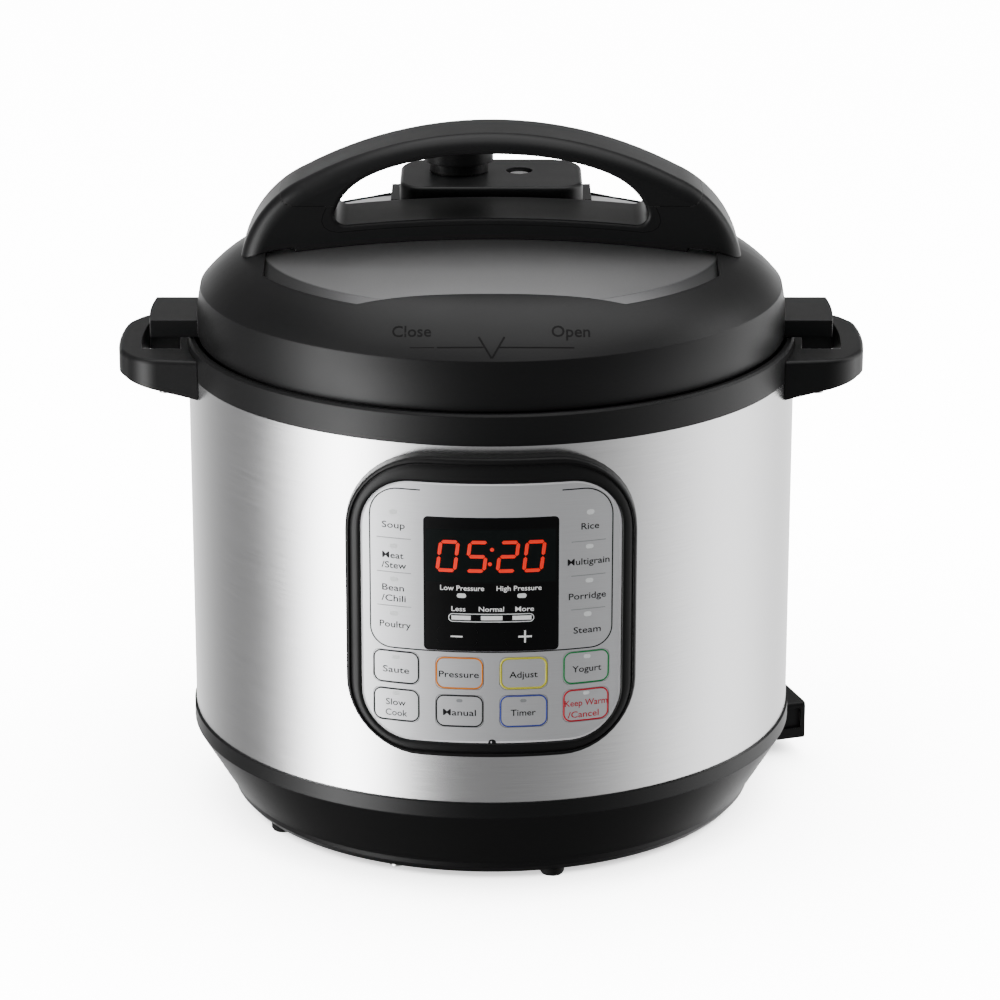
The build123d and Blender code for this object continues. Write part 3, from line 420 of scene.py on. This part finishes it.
black_ink = ink("black_ink", (0.006, 0.006, 0.007))
# White print with a faint glow, though it is no lamp: painted light
white_ink_painted_glow = ink("white_ink_painted_glow", (0.85, 0.85, 0.85), glow=0.25)
lamp_white = ink("lamp_white", (0.80, 0.82, 0.82), 0.3, 0.15)
lamp_grey = ink("lamp_grey", (0.30, 0.31, 0.32), 0.3)
orange_ink = ink("orange_ink", (0.72, 0.22, 0.03))
yellow_ink = ink("yellow_ink", (0.62, 0.58, 0.06))
green_ink = ink("green_ink", (0.01, 0.25, 0.07))
blue_ink = ink("blue_ink", (0.05, 0.07, 0.33))
red_ink = ink("red_ink", (0.55, 0.02, 0.04))
digit_red = ink("digit_red", (0.9, 0.022, 0.008), 0.4, 0.5)
digit_glass, place = new_finish("digit_glass", {"Specular IOR Level": 0.12})
film = noise(place, 0.004)
drive(digit_glass, "Base Color", shade_between(film, (0.0045, 0.0065, 0.0065), (0.0065, 0.009, 0.009)))
drive(digit_glass, "Roughness", 0.2 + 0.06 * film)
# Bright silver line along the film's edge: painted highlight where the edge catches the light
painted_rim_highlight = ink("painted_rim_highlight", (0.88, 0.88, 0.9), 0.35)


def word(text, cap, x, z, width=None, side=0):
    """Flat lettering: capital height, place of its middle or, with side -1, its left end."""
    curve = bpy.data.curves.new("word", "FONT")
    curve.body = text
    curve.size = cap / 0.73
    curve.resolution_u = 3
    curve.offset = 0.008 * cap
    helper = bpy.data.objects.new("word", curve)
    bpy.context.scene.collection.objects.link(helper)
    bpy.context.view_layer.update()
    flat = bpy.data.meshes.new_from_object(helper.evaluated_get(bpy.context.evaluated_depsgraph_get()))
    xs = [v.co.x for v in flat.vertices]
    left, spread = min(xs), max(xs) - min(xs)
    stretch = width / spread if width else 1.0
    start = x if side else x - spread * stretch / 2
    points = [(start + (v.co.x - left) * stretch, z + v.co.y - cap / 2) for v in flat.vertices]
    faces = [tuple(p.vertices) for p in flat.polygons]
    bpy.data.objects.remove(helper)
    bpy.data.curves.remove(curve)
    bpy.data.meshes.remove(flat)
    return points, faces


def stroke(path, width, closed=False):
    """Flat line of a width along a path."""
    left, right = [], []
    count = len(path)
    for i, (x, z) in enumerate(path):
        before = path[i - 1] if i or closed else path[0]
        after = path[(i + 1) % count] if i < count - 1 or closed else path[-1]
        run, rise = after[0] - before[0], after[1] - before[1]
        length = math.hypot(run, rise)
        across = (-rise / length * width / 2, run / length * width / 2)
        left.append((x + across[0], z + across[1]))
        right.append((x - across[0], z - across[1]))
    last = count if closed else count - 1
    faces = [(i, (i + 1) % count, count + (i + 1) % count, count + i) for i in range(last)]
    return left + right, faces


def line(x0, z0, x1, z1, width, steps=10):
    """Flat straight line between two points."""
    return stroke(
        [(x0 + (x1 - x0) * i / steps, z0 + (z1 - z0) * i / steps) for i in range(steps + 1)], width
    )


def pill(x, z, width, height):
    """Flat lamp window with round ends."""
    reach = width / 2 - height / 2
    path = []
    for end, start in ((1, -90), (-1, 90)):
        for i in range(9):
            angle = math.radians(start + 180 * i / 8)
            path.append((x + end * reach + height / 2 * math.cos(angle), z + height / 2 * math.sin(angle)))
    return path, [tuple(range(len(path)))]


def printed(name, marks, finishes, body, wrap, depth=ink_depth):
    """Gives flat marks a thickness, lays them on a surface and makes them one piece."""
    shape = bmesh.new()
    for points, faces, number in marks:
        top = [shape.verts.new(wrap(x, z, depth)) for x, z in points]
        bottom = [shape.verts.new(wrap(x, z, 0)) for x, z in points]
        used = {}
        for face in faces:
            area = sum(
                points[a][0] * points[b][1] - points[b][0] * points[a][1]
                for a, b in zip(face, face[1:] + face[:1])
            )
            turn = face if area > 0 else face[::-1]
            shape.faces.new([top[i] for i in turn]).material_index = number
            shape.faces.new([bottom[i] for i in reversed(turn)]).material_index = number
            for a, b in zip(turn, turn[1:] + turn[:1]):
                used[(a, b)] = used.get((a, b), 0) + 1
        for a, b in used:
            if (b, a) not in used:
                shape.faces.new((top[b], top[a], bottom[a], bottom[b])).material_index = number
    mesh = bpy.data.meshes.new(name)
    shape.to_mesh(mesh)
    shape.free()
    return add_piece(name, mesh, body, finishes, smooth=False)


def on_face(x, z, height):
    """Place on the printed film, height millimetres proud of it."""
    return on_panel(x, z, ink_radius + height)


def on_glass(x, z, height):
    """Place on the digit glass, just proud of it."""
    return on_panel(x, z, ink_radius + 0.03 + height)


def quarter(x, z, radius, start, steps=10):
    """Points of a quarter circle about a centre, from a start angle in degrees."""
    angles = [math.radians(start + 90 * i / steps) for i in range(steps + 1)]
    return [(x + radius * math.cos(a), z + radius * math.sin(a)) for a in angles]


# Hairlines round the two columns of keys, their separators, and a painted highlight along the film's edge
hairline = 0.55
left_column = [(-30.2, 189.8), (-34.8, 189.8)] + quarter(-39.4, 177.3, 12.5, 90)
left_column += [(-51.9, 165), (-51.9, 150), (-51.9, 138)] + quarter(-42.9, 126.6, 9.0, 180)
right_column = [(-x, z) for x, z in left_column]
film_marks = [
    (*stroke(left_column, hairline), 0),
    (*stroke(right_column, hairline), 0),
    (*line(-42.9, 117.6, 42.9, 117.6, hairline, 30), 0),
]
for z in (167.3, 151.9, 136.6):
    film_marks.append((*line(-48.9, z, -34.2, z, 0.3, 6), 1))
    film_marks.append((*line(34.2, z - 1.2, 48.9, z - 1.2, 0.3, 6), 1))
film_highlight_path = rounded_loop(face_half - 0.4, face_low + 0.4, face_high - 0.4, 21.6, 21.6)
film_marks.append((*stroke(film_highlight_path, 0.75, closed=True), 2))
film_marks.append((*pill(0.4, 76.0, 3.4, 3.0), 0))
printed("film_lines", film_marks, [black_ink, lamp_grey, painted_rim_highlight], "body", on_face)

# Thin film bridge round each plain key, flush with the face, where the pad flexes
bridges = []
dark_bridges = []
key_pads = {
    "key_soup": (-41.4, 177.4, 19.6, 16.4), "key_stew": (-41.4, 160.0, 19.6, 13.4),
    "key_beans": (-41.4, 144.4, 19.6, 13.4), "key_poultry": (-41.4, 128.4, 19.6, 14.6),
    "key_rice": (41.4, 177.4, 19.6, 16.4), "key_grain": (41.4, 160.0, 19.6, 13.4),
    "key_porridge": (41.4, 144.4, 19.6, 13.4), "key_steam": (41.4, 128.4, 19.6, 14.6),
    "key_minus": (-14.6, 124.7, 17.0, 9.0), "key_plus": (14.6, 124.7, 17.0, 9.0),
}
for key, (x, z, width, height) in key_pads.items():
    loop = rounded_loop(width / 2 + 0.1, z - height / 2 - 0.1, z + height / 2 + 0.1, 3.1, 3.1, 6, 8)
    turned = [(math.asin(x / panel_r) + math.asin(u / panel_r), v) for u, v in loop]
    gap = (*stroke([(panel_r * math.sin(a), v) for a, v in turned], 0.2, closed=True), 0)
    if key in ("key_minus", "key_plus"):
        dark_bridges.append(gap)
    else:
        bridges.append(gap)


def in_gap(x, z, height):
    """Place in the gap round a key, up to the film's own face."""
    return on_panel(x, z, panel_r - 0.3 + height)


printed("film_bridges", bridges, [silver_film], "body", in_gap, 0.3)
printed("window_bridges", dark_bridges, [window_black], "body", in_gap, 0.3)

# Digit glass, then the lit seven-segment digits and the words and lamps under them
printed("digit_glass", [(*line(-27.8, 161.0, 27.7, 161.0, 23.8, 28), 0)], [digit_glass], "body",
        on_face, 0.03)
bar = 1.55
digit_width, digit_low, digit_high, slant = 7.4, 154.5, 167.3, 0.12
digit_mid = (digit_low + digit_high) / 2


def bar_between(x0, z0, x1, z1):
    """One lit segment: a bar with pointed ends, kept a little short of its corners."""
    run, rise = x1 - x0, z1 - z0
    length = math.hypot(run, rise)
    along = (run / length, rise / length)
    across = (-along[1], along[0])
    shape = [(0.25, 0), (0.95, bar / 2), (length - 0.95, bar / 2), (length - 0.25, 0),
             (length - 0.95, -bar / 2), (0.95, -bar / 2)]
    points = [
        (x0 + along[0] * s + across[0] * t, z0 + along[1] * s + across[1] * t) for s, t in shape
    ]
    return points


segment_ends = {
    "a": (0, digit_high, 1, digit_high), "b": (1, digit_mid, 1, digit_high),
    "c": (1, digit_low, 1, digit_mid), "d": (0, digit_low, 1, digit_low),
    "e": (0, digit_low, 0, digit_mid), "f": (0, digit_mid, 0, digit_high),
    "g": (0, digit_mid, 1, digit_mid),
}
lit_marks = []
for left, lit in ((-23.0, "abcdef"), (-10.5, "acdfg"), (2.7, "abdeg"), (13.9, "abcdef")):
    for letter in lit:
        side0, z0, side1, z1 = segment_ends[letter]
        points = bar_between(left + side0 * digit_width, z0, left + side1 * digit_width, z1)
        points = [(x + (z - digit_low) * slant, z) for x, z in points]
        lit_marks.append((points, [tuple(range(6))], 0))
for x, z in ((0.35, 164.1), (-0.55, 157.6)):
    lit_marks.append((*pill(x, z, 1.75, 1.7), 0))
printed("lit_digits", lit_marks, [digit_red], "body", on_glass, 0.04)

white_marks = [
    (*word("Low Pressure", 2.35, -12.4, 146.7, 18.8), 0),
    (*word("High Pressure", 2.35, 11.9, 146.7, 19.2), 0),
    (*word("Less", 2.3, -14.0, 137.3, 6.0), 0),
    (*word("Normal", 2.3, 0.1, 137.3, 10.8), 0),
    (*word("More", 2.3, 14.3, 137.3, 8.0), 0),
    (*pill(-12.7, 143.2, 4.0, 2.0), 1),
    (*pill(13.1, 143.2, 4.0, 2.0), 1),
    (*stroke(rounded_loop(18.2, 131.45, 134.95, 1.7, 1.7, 6, 16), 0.35, closed=True), 1),
    (*line(-17.0, 133.2, -8.8, 133.2, 1.9, 6), 0),
    (*line(-4.4, 133.2, 4.8, 133.2, 1.9, 6), 0),
    (*line(9.1, 133.2, 17.2, 133.2, 1.9, 6), 0),
]
printed("window_words", white_marks, [white_ink_painted_glow, lamp_white], "body", on_face)

# Words and lamps on the keys
labels = {
    "key_soup": [("Soup", -41.7, 173.3, 9.9)],
    "key_stew": [("Meat", -42.0, 159.7, 9.2), ("/Stew", -41.6, 155.2, 10.6)],
    "key_beans": [("Bean", -42.0, 145.0, 9.4), ("/Chili", -41.8, 140.2, 10.4)],
    "key_poultry": [("Poultry", -41.2, 128.3, 13.4)],
    "key_rice": [("Rice", 42.2, 172.9, 7.6)],
    "key_grain": [("Multigrain", 41.6, 157.1, 18.0)],
    "key_porridge": [("Porridge", 41.2, 141.5, 16.0)],
    "key_steam": [("Steam", 41.2, 126.0, 11.8)],
    "key_saute": [("Saute", -41.0, 107.6, 11.4)],
    "key_slow_cook": [("Slow", -41.2, 92.6, 8.6), ("Cook", -41.0, 87.8, 9.4)],
    "key_pressure": [("Pressure", -13.9, 107.3, 17.2)],
    "key_manual": [("Manual", -13.7, 89.8, 14.2)],
    "key_adjust": [("Adjust", 13.9, 107.3, 12.2)],
    "key_timer": [("Timer", 13.8, 89.8, 10.8)],
    "key_yogurt": [("Yogurt", 41.2, 108.2, 12.6)],
    "key_off": [("Keep Warm", 41.0, 92.6, 18.4), ("/Cancel", 39.8, 87.3, 13.4)],
}
lamps = {
    "key_soup": (-41.7, 179.0, 3.3, 2.3), "key_stew": (-41.7, 163.7, 3.3, 2.0),
    "key_beans": (-41.7, 148.7, 3.3, 2.0), "key_poultry": (-41.7, 133.2, 3.3, 2.0),
    "key_rice": (42.3, 179.0, 3.3, 2.3), "key_grain": (42.0, 163.6, 3.3, 2.0),
    "key_porridge": (42.0, 148.2, 3.3, 2.0), "key_steam": (41.4, 133.0, 3.3, 2.2),
    "key_saute": (-41.0, 113.2, 3.0, 1.8), "key_slow_cook": (-41.0, 96.6, 2.8, 1.6),
    "key_manual": (-13.7, 95.2, 2.7, 1.5), "key_timer": (13.8, 95.2, 2.7, 1.5),
    "key_yogurt": (41.3, 113.6, 3.0, 1.8), "key_off": (41.0, 96.8, 2.8, 1.6),
}
grey_lamps = ("key_manual", "key_timer")
for key, words in labels.items():
    marks = [(*word(text, 3.0, x, z, width), 0) for text, x, z, width in words]
    if key in lamps:
        marks.append((*pill(*lamps[key]), 1))
    lamp_finish = lamp_grey if key in grey_lamps else lamp_white
    letter_ink = red_ink if key == "key_off" else black_ink
    printed(key + "_print", marks, [letter_ink, lamp_finish], key, on_face)
printed("key_minus_print", [(*line(-17.4, 124.6, -12.3, 124.6, 0.62, 4), 0)], [white_ink_painted_glow],
        "key_minus", on_face)
plus_marks = [
    (*line(11.6, 124.6, 17.4, 124.6, 0.75, 4), 0),
    (*line(14.5, 125.0, 14.5, 127.4, 0.75, 2), 0),
    (*line(14.5, 121.8, 14.5, 124.2, 0.75, 2), 0),
]
printed("key_plus_print", plus_marks, [white_ink_painted_glow], "key_plus", on_face)

# Coloured outlines of the lower keys: one rounded line each, swept flat and bent to the panel
outline_tree = bpy.data.node_groups.new("key_outline", "GeometryNodeTree")
outline_inputs = {}
for label, kind in (
    ("Turn", "Float"), ("Centre Z", "Float"), ("Width", "Float"), ("Height", "Float"),
    ("Corner", "Float"), ("Line", "Float"), ("Depth", "Float"), ("Panel Radius", "Float"),
    ("Ink", "Material"),
):
    made = outline_tree.interface.new_socket(label, in_out="INPUT", socket_type="NodeSocket" + kind)
    outline_inputs[label] = made.identifier
outline_tree.interface.new_socket("Outline", in_out="OUTPUT", socket_type="NodeSocketGeometry")
given = {
    s.name: Pin(outline_tree, s) for s in outline_tree.nodes.new("NodeGroupInput").outputs if s.name
}
start = Pin(outline_tree)
shape = start.node("GeometryNodeCurvePrimitiveQuadrilateral", {"mode": "RECTANGLE"},
                   {"Width": given["Width"], "Height": given["Height"]})
shape = shape.node("GeometryNodeFilletCurve", {"mode": "POLY"},
                   {"Curve": shape, "Count": 6, "Radius": given["Corner"]})
shape = shape.node("GeometryNodeResampleCurve", {"mode": "LENGTH"}, {"Curve": shape, "Length": 0.0007})
profile = start.node("GeometryNodeCurvePrimitiveQuadrilateral", {"mode": "RECTANGLE"},
                     {"Width": given["Line"], "Height": given["Depth"]})
swept = shape.node("GeometryNodeCurveToMesh", inputs={"Curve": shape, "Profile Curve": profile})
position = start.node("GeometryNodeInputPosition")
flat_x = position.node("ShaderNodeSeparateXYZ", inputs={0: position}, output="X")
flat_y = position.node("ShaderNodeSeparateXYZ", inputs={0: position}, output="Y")
flat_z = position.node("ShaderNodeSeparateXYZ", inputs={0: position}, output="Z")
out = flat_z + given["Panel Radius"]
share = start.math("DIVIDE", flat_x, given["Panel Radius"])
angle = start.math("ARCSINE", share, 0.0) + given["Turn"]
bent = start.node("ShaderNodeCombineXYZ", inputs={
    "X": out * start.math("SINE", angle, 0.0), "Y": 0 - out * start.math("COSINE", angle, 0.0),
    "Z": flat_y + given["Centre Z"],
})
swept = swept.node("GeometryNodeSetPosition", inputs={"Geometry": swept, "Position": bent})
swept = swept.node("GeometryNodeRealizeInstances", inputs={"Geometry": swept})
swept = swept.node("GeometryNodeSetMaterial", inputs={"Geometry": swept, "Material": given["Ink"]})
outline_tree.links.new(swept.socket, outline_tree.nodes.new("NodeGroupOutput").inputs["Outline"])

outlines = {
    "key_saute": (-41.0, 108.8, 20.6, 14.8, 0.6, black_ink),
    "key_slow_cook": (-41.0, 91.4, 20.6, 14.8, 0.6, black_ink),
    "key_pressure": (-13.7, 107.8, 20.6, 14.6, 0.75, orange_ink),
    "key_manual": (-13.7, 90.4, 20.6, 14.6, 0.6, black_ink),
    "key_adjust": (14.0, 107.8, 20.6, 14.6, 0.95, yellow_ink),
    "key_timer": (14.0, 90.4, 20.6, 14.6, 0.65, blue_ink),
    "key_yogurt": (41.0, 108.8, 20.6, 14.8, 0.65, green_ink),
    "key_off": (41.0, 91.4, 20.6, 14.8, 0.7, red_ink),
}
for key, (x, z, width, height, weight, colour) in outlines.items():
    values = {
        "Turn": math.asin(x / panel_r), "Centre Z": z * MM, "Width": (width - weight) * MM,
        "Height": (height - weight) * MM, "Corner": 3.4 * MM, "Line": weight * MM,
        "Depth": ink_depth * MM, "Panel Radius": (ink_radius + ink_depth / 2) * MM, "Ink": colour,
    }
    holder = bpy.data.objects.new("outline_maker", bpy.data.meshes.new("outline_maker"))
    bpy.context.scene.collection.objects.link(holder)
    maker = holder.modifiers.new("outline", "NODES")
    maker.node_group = outline_tree
    for label, value in values.items():
        maker[outline_inputs[label]] = value
    bpy.context.view_layer.update()
    made = bpy.data.meshes.new_from_object(
        holder.evaluated_get(bpy.context.evaluated_depsgraph_get())
    )
    bpy.data.objects.remove(holder)
    tidy = bmesh.new()
    tidy.from_mesh(made)
    bmesh.ops.recalc_face_normals(tidy, faces=tidy.faces)
    tidy.to_mesh(made)
    tidy.free()
    piece = bpy.data.objects.new(key + "_outline", made)
    bpy.context.scene.collection.objects.link(piece)
    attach(piece, key)

# ------------------------------------------------------------------ condensation cup
# Clear moulded cup that slides onto two tongues of a black bracket behind the pot and catches
# what drips from the rim's spout.
clear, place = new_finish("clear_plastic", {"Transmission Weight": 0.9, "IOR": 1.45})
haze = noise(place, 0.004)
drive(clear, "Base Color", shade_between(haze, (0.86, 0.89, 0.9), (0.93, 0.95, 0.95)))
drive(clear, "Roughness", 0.12 + 0.12 * haze)
drive(clear, "Normal", relief(haze, 0.00002))
paint(clear, "condensation_cup")
paint(base_black, "cup_bracket")

# ------------------------------------------------------------------ lid
# Drawn steel pan with a bayonet rim, under a black moulded cover that frames a satin steel dome.
# The turning mark and its two words are cut into the cover's front apron, drawn as thin marks whose dark
# colour is painted shade in the cuts.
lid_black = moulded("lid_black", (0.007, 0.007, 0.0073), 0.40, 0.0005, 0.000015, 0.0007)
lid_steel, place = new_finish("lid_steel", {"Metallic": 1.0})
blast = noise(place, 0.0005, 3.0)
cloud = noise(place, 0.06)
# The pan's shoulder, just inside the window's rim, lies under the cover; its darker colour there is
# painted shade
shoulder_start, shoulder_end = 0.1030, 0.1042
level = place.node("ShaderNodeVectorMath", {"operation": "MULTIPLY"}, {0: place, 1: (1, 1, 0)})
reach = level.node("ShaderNodeVectorMath", {"operation": "LENGTH"}, {0: level}, 1)
painted_shoulder_shade = reach.node(
    "ShaderNodeMapRange", inputs={"Value": reach, "From Min": shoulder_start, "From Max": shoulder_end}
)
open_steel = shade_between(blast, (0.36, 0.36, 0.365), (0.46, 0.46, 0.465))
drive(lid_steel, "Base Color", painted_shoulder_shade.node(
    "ShaderNodeMix", {"data_type": "RGBA"}, {0: painted_shoulder_shade, 6: open_steel, 7: (0.12, 0.12, 0.122, 1)}, 2
))
drive(lid_steel, "Roughness", 0.28 + 0.1 * blast + 0.06 * cloud)
drive(lid_steel, "Normal", relief(blast, 0.000006))
paint(lid_steel, "lid_pan")
paint(lid_black, "lid_cover")
paint(zinc, "lid_screws")
# Matte marks darker than the cover for the cuts and the handle's seam: painted shade in the grooves
groove_painted_shade = ink("engraved_painted_shade", (0.0012, 0.0012, 0.0012), 0.7)
eye_up = (math.sin(math.radians(18.32)), math.cos(math.radians(18.32)))
apron_centre, apron_bend = (87.881, 206.963), 56.976


def apron_height(radius):
    """Height of the cover's apron at a radius from the axis, in millimetres."""
    return apron_centre[1] + math.sqrt(apron_bend**2 - (radius - apron_centre[0]) ** 2)


def on_apron(x, rise, height):
    """Place on the apron where a level eye sees it x across and rise up."""
    low, high = 100.0, 131.4
    for _ in range(40):
        radius = (low + high) / 2
        y = -math.sqrt(radius**2 - x**2)
        seen = y * eye_up[0] + apron_height(radius) * eye_up[1]
        if seen > rise:
            low = radius
        else:
            high = radius
    return Vector((x, y, apron_height(radius) + height - 0.02)) * MM


turn_marks = [
    (*line(-23.0, 196.1, -3.2, 196.1, 0.5, 12), 0),
    (*line(3.4, 196.1, 35.2, 196.1, 0.5, 16), 0),
    (*line(-34.5, 196.1, -24.0, 196.1, 0.25, 8), 0),
    (*line(-5.3, 200.6, 0.1, 191.4, 0.75, 6), 0),
    (*line(5.6, 200.6, 0.4, 191.4, 0.75, 6), 0),
    (*word("Close", 5.0, -33.8, 203.4, 16.6), 0),
    (*word("Open", 5.0, 33.8, 203.4, 16.4), 0),
]
printed("turn_marks", turn_marks, [groove_painted_shade], "lid", on_apron, 0.09)

# ------------------------------------------------------------------ lid handle
# Hollow arch in two mouldings that meet at a seam: the lower part screwed down on the dome,
# the grip snapped over it.
paint(lid_black, "handle_base", "handle_grip")

# Shallow grooves cut in both faces, one under the hand hole and the seam beside it, drawn as dark marks:
# painted shade in the grooves
groove_width = 0.45
groove_depth = 0.08
seam_height = 283.2
handle_skin = bmesh.new()
for name in ("handle_base", "handle_grip"):
    handle_skin.from_mesh(nodes[name].data)
handle_surface = BVHTree.FromBMesh(handle_skin)
handle_skin.free()


def on_handle(x, z, height, face=1):
    """Place on the handle's front, or with face -1 its back, straight behind x and z."""
    start = Vector((x * face, -300 * face, z)) * MM
    place, normal = handle_surface.ray_cast(start, Vector((0, face, 0)))[:2]
    return place + normal * (height - 0.02) * MM


rim_line = [(x, 274.8 - 0.00076 * x * x) for x in range(-68, 69, 4)]
rim_line += [(71.8, 271.9), (74.4, 273.6), (75.5, 276.2), (75.0, 279.0), (73.4, 282.6)]
rim_line = [(-x, z) for x, z in rim_line[:-6:-1]] + rim_line
seam_line = [(x, seam_height) for x in (69.5, 76, 82, 88.2)] + [(91.2, 284.0), (93.0, 285.2)]
for side, face in (("front", 1), ("back", -1)):
    groove_marks = [
        (*stroke(rim_line, groove_width), 0),
        (*stroke(seam_line, groove_width), 0),
        (*stroke([(-x, z) for x, z in seam_line], groove_width), 0),
    ]
    printed("handle_grooves_" + side, groove_marks, [groove_painted_shade], "lid",
            lambda x, z, height: on_handle(x, z, height, face), groove_depth)

# ------------------------------------------------------------------ valves
# Black housing clipped behind the handle. A weighted release knob sits loose on the vent pipe;
# a steel float pin rises beside it and holds the lock slide.
paint(lid_black, "valve_housing", "steam_release_knob")
bright = plated("float_steel", (0.95, 0.95, 0.94), 0.28, 0.003)
paint(bright, "float_valve", "steam_pipe")
paint(sheet_steel, "anti_block_shield", "lock_spring")
paint(base_black, "lock_slide")
silicone, place = new_finish("silicone", {"Subsurface Weight": 0.25, "Subsurface Scale": 0.003})
bloom = noise(place, 0.006)
drive(silicone, "Base Color", shade_between(bloom, (0.72, 0.72, 0.70), (0.80, 0.80, 0.78)))
drive(silicone, "Roughness", 0.42 + 0.12 * bloom)
paint(silicone, "float_valve_cap")

# ------------------------------------------------------------------ seal
# Translucent silicone ring with a flared lip, pressed over a steel wire hoop under the lid.
paint(silicone, "sealing_ring")
paint(sheet_steel, "ring_rack")
